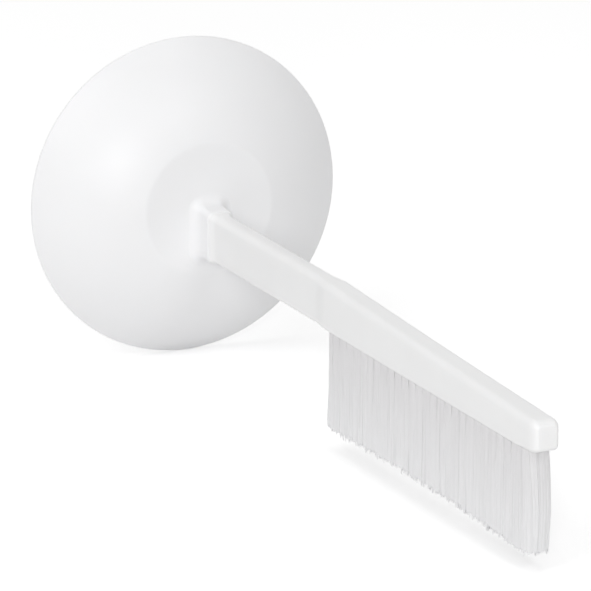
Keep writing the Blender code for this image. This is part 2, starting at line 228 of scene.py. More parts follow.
class StageSettings(bpy.types.PropertyGroup):
    azimuth: bpy.props.FloatProperty(
        name="Camera azimuth", description="Direction of the camera round the brush",
        default=math.radians(64.86), subtype="ANGLE")
    elevation: bpy.props.FloatProperty(
        name="Camera elevation", description="Height of the camera above the horizon",
        default=math.radians(15.81), subtype="ANGLE")
    distance: bpy.props.FloatProperty(
        name="Camera distance", description="Distance of the camera from the shield's disc, along its view",
        default=2.2488, min=0.1, unit="LENGTH")
    focal_length: bpy.props.FloatProperty(
        name="Focal length", description="Focal length of the lens, on a 36 mm sensor",
        default=326.1, min=10.0, unit="CAMERA")
    background: bpy.props.StringProperty(
        name="Floor colour", description="Colour of the floor, as an sRGB hex value", default="F4F4F4")
    daylight: bpy.props.FloatProperty(
        name="Soft light", description="Strength of the even light from all round", default=0.432, min=0.0)
    main_power: bpy.props.FloatProperty(
        name="Main lamp", description="Power of the main lamp, up to the left of the camera",
        default=15.9, min=0.0, unit="POWER")
    front_power: bpy.props.FloatProperty(
        name="Front lamp", description="Power of the lamp behind the camera",
        default=16.7, min=0.0, unit="POWER")
    top_power: bpy.props.FloatProperty(
        name="Top lamp", description="Power of the lamp above the brush",
        default=9.9, min=0.0, unit="POWER")
    side_power: bpy.props.FloatProperty(
        name="Side lamp", description="Power of the lamp up to the right of the camera",
        default=6.4, min=0.0, unit="POWER")


# Shape helpers

def smooth_share(share):
    """S-curve from 0 to 1 that starts and ends level."""
    return share * share * (3 - 2 * share)


def round_over(distance, radius):
    """Inset of a quarter-round edge, at a distance from its outer end."""
    reach = max(radius - distance, 0.0)
    return radius - math.sqrt(max(radius * radius - reach * reach, 0.0))


def section(x, half_width, low, high, corner_low, corner_high, steps=8):
    """Ring of points round a rounded rectangle across the brush."""
    largest = min(half_width, (high - low) / 2) * 0.98
    corner_low = min(corner_low, largest)
    corner_high = min(corner_high, largest)
    corners = (
        (half_width - corner_low, low + corner_low, corner_low, -90),
        (half_width - corner_high, high - corner_high, corner_high, 0),
        (-half_width + corner_high, high - corner_high, corner_high, 90),
        (-half_width + corner_low, low + corner_low, corner_low, 180),
    )
    ring = []
    for y, z, radius, start in corners:
        for step in range(steps + 1):
            angle = math.radians(start + 90 * step / steps)
            ring.append((x, y + radius * math.cos(angle), z + radius * math.sin(angle)))
    return ring


def finished_mesh(shape, name):
    """Mesh of a shape, which is freed."""
    mesh = bpy.data.meshes.new(name)
    shape.to_mesh(mesh)
    shape.free()
    return mesh


def loft_mesh(name, rings):
    """Closed skin through rings of equally many points, with a flat cap at each end."""
    shape = bmesh.new()
    rows = [[shape.verts.new(point) for point in ring] for ring in rings]
    count = len(rows[0])
    for near, far in zip(rows, rows[1:]):
        for i in range(count):
            j = (i + 1) % count
            shape.faces.new((near[i], near[j], far[j], far[i]))
    shape.faces.new(list(reversed(rows[0])))
    shape.faces.new(rows[-1])
    bmesh.ops.recalc_face_normals(shape, faces=shape.faces)
    return finished_mesh(shape, name)


def turned_mesh(name, profile, sides):
    """Solid turned about Z from a profile of (radius, height) that starts and ends on the axis."""
    shape = bmesh.new()
    line = [shape.verts.new((radius, 0, height)) for radius, height in profile]
    edges = [shape.edges.new(pair) for pair in zip(line, line[1:])]
    bmesh.ops.spin(shape, geom=line + edges, cent=(0, 0, 0), axis=(0, 0, 1),
                   angle=math.tau, steps=sides, use_merge=True)
    bmesh.ops.remove_doubles(shape, verts=shape.verts, dist=0.01 * MM)
    bmesh.ops.recalc_face_normals(shape, faces=shape.faces)
    return finished_mesh(shape, name)


def new_object(name, data):
    obj = bpy.data.objects.new(name, data)
    bpy.context.scene.collection.objects.link(obj)
    return obj


def apply_boolean(obj, mesh, operation):
    """Joins or cuts obj with a helper mesh, and leaves no modifier and no helper behind."""
    helper = new_object("helper", mesh)
    modifier = obj.modifiers.new("form", "BOOLEAN")
    modifier.operation = operation
    modifier.solver = "EXACT"
    modifier.object = helper
    graph = bpy.context.evaluated_depsgraph_get()
    result = bpy.data.meshes.new_from_object(obj.evaluated_get(graph))
    obj.modifiers.clear()
    old = obj.data
    obj.data = result
    result.name = old.name
    bpy.data.meshes.remove(old)
    bpy.data.objects.remove(helper)
    if not result.polygons:
        raise RuntimeError(f"{obj.name} has no faces left after a {operation.lower()}")


def finish_shading(obj, sharp_degrees=38):
    """Smooth faces with the flats kept flat, and sharp edges where the moulding has them."""
    obj.data.shade_smooth()
    obj.data.set_sharp_from_angle(angle=math.radians(sharp_degrees))
    modifier = obj.modifiers.new("even_flats", "WEIGHTED_NORMAL")
    modifier.keep_sharp = True
    modifier.weight = 80


def dress(obj, material, nodes):
    """Gives a piece its material and its place on the brush, and hides the imported nodes that it stands
    for.
    """
    obj.data.materials.clear()
    obj.data.materials.append(material)
    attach(obj, "root")
    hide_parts(*nodes)


# Materials

# Places of the Mix node's sockets, because several share a name
FACTOR, FIRST_COLOUR, SECOND_COLOUR, MIXED_COLOUR = 0, 6, 7, 2
FIRST_VALUE, SECOND_VALUE, MIXED_VALUE = 2, 3, 0


def linear_colour(hex_value):
    """sRGB hex value as the linear colour that a shader takes."""
    channels = [int(hex_value[i:i + 2], 16) / 255 for i in (0, 2, 4)]
    return [c / 12.92 if c <= 0.04045 else ((c + 0.055) / 1.055) ** 2.4 for c in channels] + [1.0]


def add_node(tree, kind, values=(), links=(), **settings):
    """A new node with its settings, its socket values and its incoming links."""
    node = tree.nodes.new(kind)
    for name, value in settings.items():
        setattr(node, name, value)
    for socket, value in dict(values).items():
        node.inputs[socket].default_value = value
    for socket, source in dict(links).items():
        tree.links.new(source, node.inputs[socket])
    return node


def new_material(name):
    material = bpy.data.materials.new(name)
    material.use_nodes = True
    tree = material.node_tree
    tree.nodes.clear()
    output = tree.nodes.new("ShaderNodeOutputMaterial")
    return material, tree, output


def moulded_polypropylene(name, colour, roughness, grain, waviness):
    """Injection-moulded polypropylene: a waxy white with a satin skin.

    The mould's fine spark-eroded grain breaks up the highlights. The real grain is about 0.05 mm, too fine
    to show, so it is drawn at the size given. Slow waves over the faces come from the plastic's shrinking.
    """
    material, tree, output = new_material(name)
    place = add_node(tree, "ShaderNodeTexCoord").outputs["Object"]
    waves = add_node(tree, "ShaderNodeTexNoise", {"Scale": 1 / waviness, "Detail": 2.0, "Roughness": 0.45},
                     {"Vector": place})
    fine = add_node(tree, "ShaderNodeTexNoise", {"Scale": 1 / grain, "Detail": 3.0, "Roughness": 0.6},
                    {"Vector": place})
    deepest_tone, roughness_spread = 0.965, 0.05
    base = linear_colour(colour)
    deeper = [channel * deepest_tone for channel in base[:3]] + [1.0]
    tint = add_node(tree, "ShaderNodeMix", {FIRST_COLOUR: deeper, SECOND_COLOUR: base},
                    {FACTOR: waves.outputs["Fac"]}, data_type="RGBA")
    rough = add_node(tree, "ShaderNodeMapRange",
                     {"From Min": 0.3, "From Max": 0.7, "To Min": roughness - roughness_spread,
                      "To Max": roughness + roughness_spread},
                     {"Value": fine.outputs["Fac"]})
    broad = add_node(tree, "ShaderNodeBump", {"Strength": 0.10, "Distance": 0.10 * MM},
                     {"Height": waves.outputs["Fac"]})
    skin = add_node(tree, "ShaderNodeBump", {"Strength": 0.12, "Distance": 0.02 * MM},
                    {"Height": fine.outputs["Fac"], "Normal": broad.outputs["Normal"]})
    shader = add_node(tree, "ShaderNodeBsdfPrincipled",
                      {"IOR": 1.49, "Subsurface Weight": 0.12, "Subsurface Scale": 2.0 * MM,
                       "Subsurface Radius": (1.0, 0.95, 0.9)},
                      {"Base Color": tint.outputs[MIXED_COLOUR], "Roughness": rough.outputs["Result"],
                       "Normal": skin.outputs["Normal"]})
    tree.links.new(shader.outputs["BSDF"], output.inputs["Surface"])
    material.diffuse_color = base
    return material


def drawn_polyester_filament(name, shaded_root_colour, lit_end_colour, thickness, root_height, end_height):
    """Drawn polyester filament: translucent white, glossier along its length than moulded plastic.

    The tone rises evenly from the roots to the ends as painted shade and light: darker roots for the shade
    under the block and between the tufts, lighter ends for the light that gets in between the looser ends.
    Neighbouring filaments differ a little too: that tone changes over a few of them along the rows, less
    across the rows and hardly at all down the filaments.
    """
    streak_width, darkest_tone = 5 * thickness, 0.965
    material, tree, output = new_material(name)
    place = add_node(tree, "ShaderNodeTexCoord").outputs["Object"]
    stretched = add_node(tree, "ShaderNodeMapping", {"Scale": (1.0, 0.3, 0.02)}, {"Vector": place})
    streaks = add_node(tree, "ShaderNodeTexNoise",
                       {"Scale": 1 / streak_width, "Detail": 3.0, "Roughness": 0.8},
                       {"Vector": stretched.outputs["Vector"]})
    height = add_node(tree, "ShaderNodeSeparateXYZ", {}, {"Vector": place}).outputs["Z"]
    # Painted shade and light: the colour runs from the darker root colour at the roots to the lighter end
    # colour at the ends.
    along = add_node(tree, "ShaderNodeMapRange", {"From Min": root_height, "From Max": end_height},
                     {"Value": height})
    base = add_node(tree, "ShaderNodeMix",
                    {FIRST_COLOUR: linear_colour(shaded_root_colour), SECOND_COLOUR: linear_colour(lit_end_colour)},
                    {FACTOR: along.outputs["Result"]}, data_type="RGBA")
    spread = add_node(tree, "ShaderNodeMapRange",
                      {"From Min": 0.32, "From Max": 0.62, "To Min": darkest_tone, "To Max": 1.0},
                      {"Value": streaks.outputs["Fac"]})
    tint = add_node(tree, "ShaderNodeVectorMath", {},
                    {0: base.outputs[MIXED_COLOUR], 1: spread.outputs["Result"]}, operation="MULTIPLY")
    shader = add_node(tree, "ShaderNodeBsdfPrincipled", {"IOR": 1.57, "Roughness": 0.42},
                      {"Base Color": tint.outputs["Vector"]})
    tree.links.new(shader.outputs["BSDF"], output.inputs["Surface"])
    material.diffuse_color = linear_colour(lit_end_colour)
    return material


def background_rays(tree):
    """1 for the rays that show the background: of the camera, of reflections and through clear pieces."""
    rays = add_node(tree, "ShaderNodeLightPath")
    seen = rays.outputs["Is Camera Ray"]
    for kind in ("Is Glossy Ray", "Is Transmission Ray"):
        seen = add_node(tree, "ShaderNodeMath", {}, {0: seen, 1: rays.outputs[kind]},
                        operation="MAXIMUM").outputs[0]
    return seen


def paper_floor(name, colour, lift):
    """Seamless white paper: matt, and a little brighter as the background, so that it reads as white."""
    material, tree, output = new_material(name)
    paper = add_node(tree, "ShaderNodeBsdfDiffuse", {"Color": linear_colour(colour)})
    strength = add_node(tree, "ShaderNodeMath", {1: lift}, {0: background_rays(tree)}, operation="MULTIPLY")
    glow = add_node(tree, "ShaderNodeEmission", {}, {"Strength": strength.outputs[0]})
    both = add_node(tree, "ShaderNodeAddShader", {}, {0: paper.outputs[0], 1: glow.outputs[0]})
    tree.links.new(both.outputs[0], output.inputs["Surface"])
    return material


# Bar

def bar_places(bar):
    """Where the shoulder, the neck, the flare and the block start along the brush."""
    shoulder = SHIELD_HIGH.x + SHOULDER_GAP
    neck = shoulder + bar.shoulder_length
    flare = neck + bar.neck_length
    block = flare + bar.flare_length
    return shoulder, neck, flare, block


def back_height(x, neck, block, bar):
    """Top of the bar: the neck's gentle fall, then the slightly hollow slope of the block's back."""
    neck_rise, heel_rise, hollow = 10.15 * MM, 9.4 * MM, 0.30 * MM
    tip_rise = bar.tip_height + BAR_LOW.z
    if x <= block:
        return neck_rise + (heel_rise - neck_rise) * (x - neck) / (block - neck)
    share = (x - block) / (BAR_HIGH.x - block)
    return heel_rise + (tip_rise - heel_rise) * share - 4 * hollow * share * (1 - share)


def block_half_width(x, block, bar):
    """Half the block's width, which grows a little towards the tip."""
    share = (x - block) / (BAR_HIGH.x - block)
    return bar.heel_width / 2 + (BAR_HIGH.y - bar.heel_width / 2) * share


def block_underside(x, block, bar):
    """Height of the block's underside, which falls a little towards the tip."""
    share = (x - block) / (BAR_HIGH.x - block)
    return -bar.heel_drop + (BAR_LOW.z + bar.heel_drop) * share


def bar_rings(bar):
    """Sections of the bar from the end of the grip to the face of the tip."""
    shoulder, neck, flare, block = bar_places(bar)
    end_corner, end_edge = 7.0 * MM, 1.5 * MM
    neck_corner, underside_corner = 1.8 * MM, 1.1 * MM
    upper_corner, tip_underside_corner = bar.edge_rounding, 2.2 * MM
    neck_drop, neck_end_drop = 10.1 * MM, 10.35 * MM
    rings = []
    stops = {end_corner * (1 - math.cos(math.radians(a))) for a in range(0, 91, 6)}
    stops |= {end_edge * (1 - math.cos(math.radians(a))) for a in range(10, 90, 10)}
    for distance in sorted(stops):
        half_height = bar.grip_height / 2 - round_over(distance, end_corner)
        rings.append(section(BAR_LOW.x + distance, bar.grip_width / 2 - round_over(distance, end_edge),
                             -half_height, half_height, GRIP_CORNER, GRIP_CORNER))
    inside_shield = shoulder - 30 * MM
    for x in (inside_shield, shoulder):
        rings.append(section(x, bar.grip_width / 2, -bar.grip_height / 2, bar.grip_height / 2,
                             GRIP_CORNER, GRIP_CORNER))
    edge, hollowness = 0.35 * MM, 1.8
    taper = [(shoulder + edge * (1 - math.cos(math.radians(a))), 1 - edge / bar.shoulder_step
              * (1 - math.sin(math.radians(a)))) for a in (0, 30, 60)]
    taper += [(shoulder + edge + (bar.shoulder_length - edge) * share, (1 - share) ** hollowness)
              for share in (0, 0.15, 0.3, 0.45, 0.6, 0.75, 0.88, 1)]
    for x, share in taper:
        proud = bar.shoulder_step * share
        rings.append(section(x, bar.neck_width / 2 + bar.shoulder_side_step * share, -neck_drop - proud,
                             back_height(neck, neck, block, bar) + proud, neck_corner, upper_corner))
    for share in (0.02, 0.25, 0.5, 0.75, 0.98):
        x = neck + (flare - neck) * share
        rings.append(section(x, bar.neck_width / 2, -neck_drop - (neck_end_drop - neck_drop) * share,
                             back_height(x, neck, block, bar), neck_corner, upper_corner))
    flare_steps = 16
    for step in range(flare_steps + 1):
        share = step / flare_steps
        x = flare + bar.flare_length * share
        blend = smooth_share(share)
        rings.append(section(
            x, (bar.neck_width + (bar.heel_width - bar.neck_width) * blend) / 2,
            -neck_end_drop - (bar.heel_drop - neck_end_drop) * blend, back_height(x, neck, block, bar),
            neck_corner + (underside_corner - neck_corner) * blend, upper_corner))
    last = BAR_HIGH.x - bar.tip_rounding_length
    corner_growth = 12 * MM
    even = [step / 24 for step in range(1, 20)]
    closer = [0.79 + 0.21 * step / 7 for step in range(1, 8)]
    for share in even + closer:
        x = block + (last - block) * share
        grown = smooth_share(max(0.0, 1 - (last - x) / corner_growth))
        rings.append(section(
            x, block_half_width(x, block, bar), block_underside(x, block, bar),
            back_height(x, neck, block, bar),
            underside_corner + (tip_underside_corner - underside_corner) * grown,
            upper_corner + (bar.tip_corner - upper_corner) * grown))
    tip_steps, underside_inset = 10, 0.7
    for step in range(1, tip_steps + 1):
        angle = math.radians(90 * step / tip_steps)
        inset = bar.tip_rounding * (1 - math.cos(angle))
        x = last + bar.tip_rounding_length * math.sin(angle)
        rings.append(section(
            x, block_half_width(x, block, bar) - inset, block_underside(x, block, bar) + inset,
            back_height(x, neck, block, bar) - inset,
            tip_underside_corner - inset * underside_inset, bar.tip_corner - inset))
    return rings


def tuft_mouth(node):
    """Centre of a tuft's hole on the block's underside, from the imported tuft's root, which fills it."""
    root_height, level = 8.7 * MM, 0.05 * MM
    points = [vert.co for vert in frame["nodes"][node].data.vertices]
    top = max(point.z for point in points)
    rim = [point for point in points if point.z > top - level]
    low = Vector((min(p.x for p in rim), min(p.y for p in rim), 0))
    high = Vector((max(p.x for p in rim), max(p.y for p in rim), 0))
    middle = (low + high) / 2
    return Vector((middle.x, middle.y, top - root_height))


def drilled_holes(bristles):
    """All tuft holes as one cutter, each started a little below the block."""
    shape = bmesh.new()
    below = 1 * MM
    for node in TUFT_NODES:
        middle = tuft_mouth(node) + Vector((0, 0, (bristles.hole_depth - below) / 2))
        bmesh.ops.create_cone(shape, cap_ends=True, segments=24, radius1=bristles.hole_radius,
                              radius2=bristles.hole_radius, depth=bristles.hole_depth + below,
                              matrix=Matrix.Translation(middle))
    return finished_mesh(shape, "drilled_holes")


def hang_hole(bar):
    """Round hole through the grip with rounded mouths."""
    half, beyond, radius, lip, lip_steps = bar.grip_width / 2, 1 * MM, 4 * MM, 1 * MM, 8
    upper = [(0.0, half + beyond), (radius + lip, half + beyond)]
    upper += [(radius + lip * (1 - math.sin(a)), half - lip * (1 - math.cos(a)))
              for a in (math.radians(90 * step / lip_steps) for step in range(lip_steps + 1))]
    profile = upper + [(r, -h) for r, h in reversed(upper)]
    mesh = turned_mesh("hang_hole", profile, sides=64)
    mesh.transform(Matrix.Rotation(math.radians(90), 4, "X"))
    return mesh


class BRUSH_OT_add_bar(bpy.types.Operator):
    """Adds the moulded bar: grip with its hang hole, shoulder, neck, flare and drilled bristle block"""
    bl_idname = "brush.add_bar"
    bl_label = "Add Bar"

    def execute(self, context):
        bar, bristles = context.scene.brush_bar, context.scene.brush_bristles
        obj = new_object("brush_bar", loft_mesh("brush_bar", bar_rings(bar)))
        apply_boolean(obj, hang_hole(bar), "DIFFERENCE")
        apply_boolean(obj, drilled_holes(bristles), "DIFFERENCE")
        finish_shading(obj)
        plastic = moulded_polypropylene("moulded_polypropylene_bar", bar.colour, bar.roughness,
                                        grain=MOULD_GRAIN, waviness=18 * MM)
        dress(obj, plastic, ["brush_body"])
        return {"FINISHED"}


# Shield

def shield_profile(shield):
    """Half section of the bowl as (radius, height), height 0 being the front of the disc.

    The dome is one arc from the disc's edge to the middle of the rounded rim, and the disc's edge is eased
    by a short blend.
    """
    half_wall = shield.wall / 2
    half_width = (SHIELD_HIGH.y - SHIELD_LOW.y) / 2
    depth = SHIELD_HIGH.x - shield.sleeve_length - SHIELD_LOW.x
    rim = Vector((half_width - half_wall, -(depth - half_wall)))
    edge = Vector((shield.disc_radius, 0.0))
    outward = Vector((math.sin(shield.disc_slope), math.cos(shield.disc_slope)))
    span = rim - edge
    radius = (half_wall ** 2 - span.length_squared) / (2 * (span.dot(outward) + half_wall))
    centre = edge - outward * radius
    to_rim = rim - centre
    end = math.atan2(to_rim.x, to_rim.y)
    inner = radius - shield.wall
    begin_inner = math.acos((-shield.wall - centre.y) / inner)

    def on_arc(size, angle):
        return (centre.x + size * math.sin(angle), centre.y + size * math.cos(angle))

    blend_steps, arc_steps, rim_steps = 6, 40, 10
    blend = shield.disc_blend
    start = shield.disc_slope + blend / radius
    profile = [(0.0, 0.0)]
    profile += [(shield.disc_radius * share, 0.0) for share in (0.35, 0.7, 0.9)]
    before = Vector((shield.disc_radius - blend, 0.0))
    after = Vector(on_arc(radius, start))
    for step in range(blend_steps + 1):
        share = step / blend_steps
        point = before * (1 - share) ** 2 + edge * 2 * share * (1 - share) + after * share ** 2
        profile.append((point.x, point.y))
    profile += [on_arc(radius, start + (end - start) * i / arc_steps) for i in range(1, arc_steps + 1)]
    profile += [(rim.x + half_wall * math.sin(a), rim.y + half_wall * math.cos(a))
                for a in (end + math.pi * i / rim_steps for i in range(1, rim_steps))]
    profile += [on_arc(inner, end + (begin_inner - end) * i / arc_steps) for i in range(arc_steps + 1)]
    return profile + [(0.0, -shield.wall)]


def sleeve_rings(bar, shield):
    """Tapered sleeve on the disc: a fillet at its foot, then a shallow groove and a round-edged rim."""
    disc = SHIELD_HIGH.x - shield.sleeve_length
    wall_side, wall_top, wall_low, corner = 1.6 * MM, 1.3 * MM, 1.1 * MM, 2.6 * MM
    draft_side, draft_top = 0.3 * MM, 1.3 * MM
    rim_rise, groove_width, groove_share = 0.5 * MM, 0.35 * MM, 0.6
    foot = [shield.sleeve_fillet * (1 - math.cos(math.radians(a))) for a in range(6, 91, 7)]
    front = [shield.sleeve_length - shield.sleeve_edge * (1 - math.sin(math.radians(a)))
             for a in range(0, 91, 15)]
    rim = shield.sleeve_length - shield.rim_length
    front = [rim + 0.1 * MM * step for step in range(-3, 7)] + front
    half_width = bar.grip_width / 2 + SEAT_GAP + wall_side
    low = -bar.grip_height / 2 - SEAT_GAP - wall_low
    high = bar.grip_height / 2 + SEAT_GAP + wall_top
    rings = []
    for distance in [-shield.wall / 2] + foot + front:
        place = max(distance, foot[0])
        away = 1 - place / shield.sleeve_length
        out = round_over(place, shield.sleeve_fillet)
        out -= round_over(shield.sleeve_length - place, shield.sleeve_edge)
        out += shield.rim_step * smooth_share(min(max((place - rim) / rim_rise, 0.0), 1.0))
        out -= groove_share * shield.rim_step * math.exp(-((place - rim) / groove_width) ** 2)
        side = draft_side * away + out
        rings.append(section(disc + distance, half_width + side, low - side,
                             high + draft_top * away + out, corner + out, corner + out))
    return rings


class BRUSH_OT_add_shield(bpy.types.Operator):
    """Adds the domed hand shield with its flat disc and the sleeve that holds it on the handle"""
    bl_idname = "brush.add_shield"
    bl_label = "Add Shield"

    def execute(self, context):
        bar, shield = context.scene.brush_bar, context.scene.brush_shield
        mesh = turned_mesh("hand_shield_bowl", shield_profile(shield), sides=192)
        disc = SHIELD_HIGH.x - shield.sleeve_length
        middle = (SHIELD_LOW.z + SHIELD_HIGH.z) / 2
        lower = (SHIELD_HIGH.z - SHIELD_LOW.z) / (SHIELD_HIGH.y - SHIELD_LOW.y)
        mesh.transform(Matrix.Translation((disc, 0, middle)) @ Matrix.Scale(lower, 4, (0, 0, 1))
                       @ Matrix.Rotation(math.radians(90), 4, "Y"))
        obj = new_object("hand_shield_bowl", mesh)
        apply_boolean(obj, loft_mesh("sleeve", sleeve_rings(bar, shield)), "UNION")
        behind, beyond = 10 * MM, 5 * MM
        socket = [section(x, bar.grip_width / 2 + SEAT_GAP, -bar.grip_height / 2 - SEAT_GAP,
                          bar.grip_height / 2 + SEAT_GAP, SOCKET_CORNER, SOCKET_CORNER)
                  for x in (disc - behind, SHIELD_HIGH.x + beyond)]
        apply_boolean(obj, loft_mesh("socket", socket), "DIFFERENCE")
        finish_shading(obj, sharp_degrees=30)
        plastic = moulded_polypropylene("moulded_polypropylene_shield", shield.colour, shield.roughness,
                                        grain=MOULD_GRAIN, waviness=30 * MM)
        dress(obj, plastic, ["hand_shield"])
        return {"FINISHED"}


# Bristles

def trimmed_length(x, row_start, row_end, bristles):
    """Length of the bristles at a place along the block. The trimmed ends make a slightly hollow line."""
    share = np.clip((x - row_start) / (row_end - row_start), 0, 1)
    straight = bristles.heel_length + (bristles.tip_length - bristles.heel_length) * share
    return straight - 4 * bristles.trim_hollow * share * (1 - share)


def spread_square(angle):
    """Place on a square's edge, half as wide as 1, for an angle round a circle, at an even pace."""
    side = np.round(angle / (math.pi / 2))
    along = (angle - side * math.pi / 2) / (math.pi / 4)
    turn = side * math.pi / 2
    return np.stack([np.cos(turn) - along * np.sin(turn), np.sin(turn) + along * np.cos(turn)], -1)


def sunflower_angles(count):
    """Golden-angle steps, which spread any number of filaments evenly."""
    return np.arange(count) * math.pi * (3 - math.sqrt(5))


def last_side_bow(share):
    """How far the last tuft's outer side stands out, in mm, down the tuft."""
    return 0.8 - 2.5 * (1 - share) ** 2.5 + 0.6 * np.sin(np.pi * share ** 1.5) - 0.8 * share ** 6


def tuft_lines(ring, angle, share, tuft, bristles):
    """Lines down a tuft, from the places that ring and angle give in its round hole.

    Each tuft is rounder at its hole and spreads until it meets the next ones, so that further down they make
    one even curtain. The outer side of the first tuft hangs straight from its round hole and spreads near
    its end. That of the last one reaches as far as the end of the longer row, bows outwards and is rounded
    across the brush.
    """
    hole_spread, later_spread, hole_roundness = 0.80, 0.20, 0.6
    circle = np.stack([np.cos(angle), np.sin(angle)], -1)
    square = spread_square(angle)
    spread = (hole_spread + later_spread * (1 - (1 - share) ** 3.5))[None, :]
    squared = (1 - hole_roundness * (1 - share) ** 4)[None, :]
    outer = ((1 + tuft["end"] * ring * square[:, 0]) / 2)[:, None]
    if tuft["end"] < 0:
        late_spread = 0.8 * share ** 4
        spread = spread * (1 - outer) + late_spread * outer
        squared = squared * (1 - outer)
    elif tuft["end"] > 0:
        squared = squared * 0 + 1
    squared = squared[:, :, None]
    hole = bristles.hole_radius - bristles.thickness * 0.6
    full = np.array([bristles.spread_along, bristles.spread_across])
    size = hole + (full - hole) * spread[:, :, None]
    lines = (circle[:, None, :] * (1 - squared) + square[:, None, :] * squared) * size
    lines = lines * ring[:, None, None] + np.array(tuft["mouth"].xy)
    if tuft["end"] > 0:
        narrowing, rounding, reach_across = 0.3, 1.5, 5 * MM
        lines[:, :, 1] *= 1 - narrowing * outer ** 2 * (0.4 + 0.6 * share)
        across = lines[:, :, 1] / reach_across
        bow = last_side_bow(share) - rounding * across ** 2
        lines[:, :, 0] += outer * (tuft["short_by"] + MM * bow)
    return lines


def drop_lines(lines, share, start, length, mouth):
    """Lines across a tuft as points in space, from a height above its mouth to the end of each length."""
    height = mouth.z + start - share[None, :] * (start + length[:, None])
    return np.concatenate([lines, height[:, :, None]], 2)


def tube_parts(paths, thickness, sides=5):
    """Points and faces of round filaments along their centre lines, each with a flat end of its own."""
    count, stations, _ = paths.shape
    turn = np.arange(sides) * math.tau / sides
    ring = np.stack([np.cos(turn), np.sin(turn), np.zeros(sides)], 1) * thickness / 2
    points = (paths[:, :, None, :] + ring[None, None, :, :]).reshape(-1, 3)
    ends = (paths[:, -1:, :] + ring[None, :, :]).reshape(-1, 3)
    first = (np.arange(count) * stations * sides)[:, None, None]
    row = (np.arange(stations - 1) * sides)[None, :, None]
    here = np.arange(sides)[None, None, :]
    ahead = (here + 1) % sides
    quads = np.stack([first + row + here, first + row + sides + here,
                      first + row + sides + ahead, first + row + ahead], -1).reshape(-1, 4)
    caps = len(points) + (np.arange(count) * sides)[:, None] + np.arange(sides)[::-1]
    return np.concatenate([points, ends]), quads.tolist() + caps.tolist()


def bundle_parts(paths):
    """Points and faces of the skin round the inner bundle of a tuft, one path for each of its sides."""
    count, stations, _ = paths.shape
    points = paths.transpose(1, 0, 2).reshape(-1, 3)
    here = np.arange(count)[None, :]
    ahead = (here + 1) % count
    row = (np.arange(stations - 1) * count)[:, None]
    quads = np.stack([row + here, row + count + here, row + count + ahead, row + ahead], -1).reshape(-1, 4)
    cap = len(points) + np.arange(count)[::-1]
    return np.concatenate([points, points[-count:]]), quads.tolist() + [cap.tolist()]


def tuft_parts(tuft, bristles, chance):
    """The pieces of one tuft, each as points and faces."""
    share = np.array((0, 0.12, 0.32, 0.62, 1.0))
    buried = 1.5 * MM
    mouth = tuft["mouth"]

    def trimmed(lines, shorter):
        """Trimmed lengths less a margin, and less again towards the rows' ends."""
        heel_cut, tip_cut = 1.25 * MM, 0.45 * MM
        x = lines[:, -1, 0]
        before = np.clip((tuft["row_start"] - x) / bristles.spread_along + 1, 0, None)
        after = np.clip((x - tuft["row_end"]) / bristles.spread_along, 0, None)
        shorter = shorter + heel_cut * before + tip_cut * after
        return trimmed_length(x, tuft["row_start"], tuft["row_end"], bristles) - shorter

    # Inner bundle: a fluted skin, whose ridges read as filaments
    flutes, bundle_size, flute_height, flute_scatter, bundle_margin = 40, 0.965, 0.010, 0.005, 1.4 * MM
    angle = np.arange(flutes) * math.tau / flutes
    ring = (bundle_size + flute_height * np.where(np.arange(flutes) % 2, 1, -1)
            + chance.normal(0, flute_scatter, flutes))
    lines = tuft_lines(ring, angle, share, tuft, bristles)
    parts = [bundle_parts(drop_lines(lines, share, buried, trimmed(lines, bundle_margin), mouth))]

    # Loose filaments, a few of them astray, trimmed in uneven clumps
    more_at_ends, astray_share, longer_share = 1.6, 0.010, 0.08
    sway_size, astray_size = (0.16 * MM, 0.035 * MM), (0.8 * MM, 0.3 * MM)
    clumps, clump_width, clump_cut, rows_reach = 24, 0.7 * MM, 0.65 * MM, 8 * MM
    loose_margin, shortest, longest = 0.9 * MM, -1.0 * MM, 2.6 * MM
    count = int(bristles.filaments * (more_at_ends if tuft["end"] else 1))
    angle = (sunflower_angles(count) + chance.uniform(0, math.tau)) % math.tau
    ring = 0.985 + chance.uniform(-0.03, 0.025, count)
    lines = tuft_lines(ring, angle, share, tuft, bristles)
    calm = 0.3 if tuft["end"] > 0 else 1
    sway = chance.normal(0, 1, (count, 2)) * np.array([sway_size[0] * calm, sway_size[1]])
    astray = chance.random(count) < astray_share * calm ** 2
    sway[astray] += chance.normal(0, 1, (int(astray.sum()), 2)) * np.array(astray_size)
    lines = lines + sway[:, None, :] * (share ** 1.3)[None, :, None]
    clump = ((lines[:, -1, 0] - mouth.x + rows_reach) / clump_width).astype(int) % clumps
    scatter = chance.normal(0, bristles.trim_scatter, count) + chance.exponential(clump_cut, clumps)[clump]
    longer = chance.random(count) < longer_share
    scatter[longer] += chance.uniform(0.5 * MM, 1.5 * MM, int(longer.sum()))
    length = trimmed(lines, loose_margin) + np.clip(scatter, shortest, longest)
    parts.append(tube_parts(drop_lines(lines, share, buried, length, mouth), bristles.thickness))

    # Inner ends: the bundle hides all but their last stretch
    inner_size, inner_scatter, inner_margin, shown_stretch = 0.96, 0.10 * MM, 1.1 * MM, 3 * MM
    count = bristles.inner_ends
    angle = sunflower_angles(count) % math.tau
    ring = np.sqrt((np.arange(count) + 0.5) / count) * inner_size
    lines = tuft_lines(ring, angle, np.array((0.93, 1.0)), tuft, bristles)
    lines = lines + chance.normal(0, inner_scatter, (count, 1, 2))
    length = trimmed(lines, inner_margin) + chance.normal(0, bristles.trim_scatter, count)
    start = -trimmed(lines, shown_stretch).min()
    paths = drop_lines(lines, np.array((0, 1.0)), start, length, mouth)
    parts.append(tube_parts(paths, bristles.thickness))
    return parts


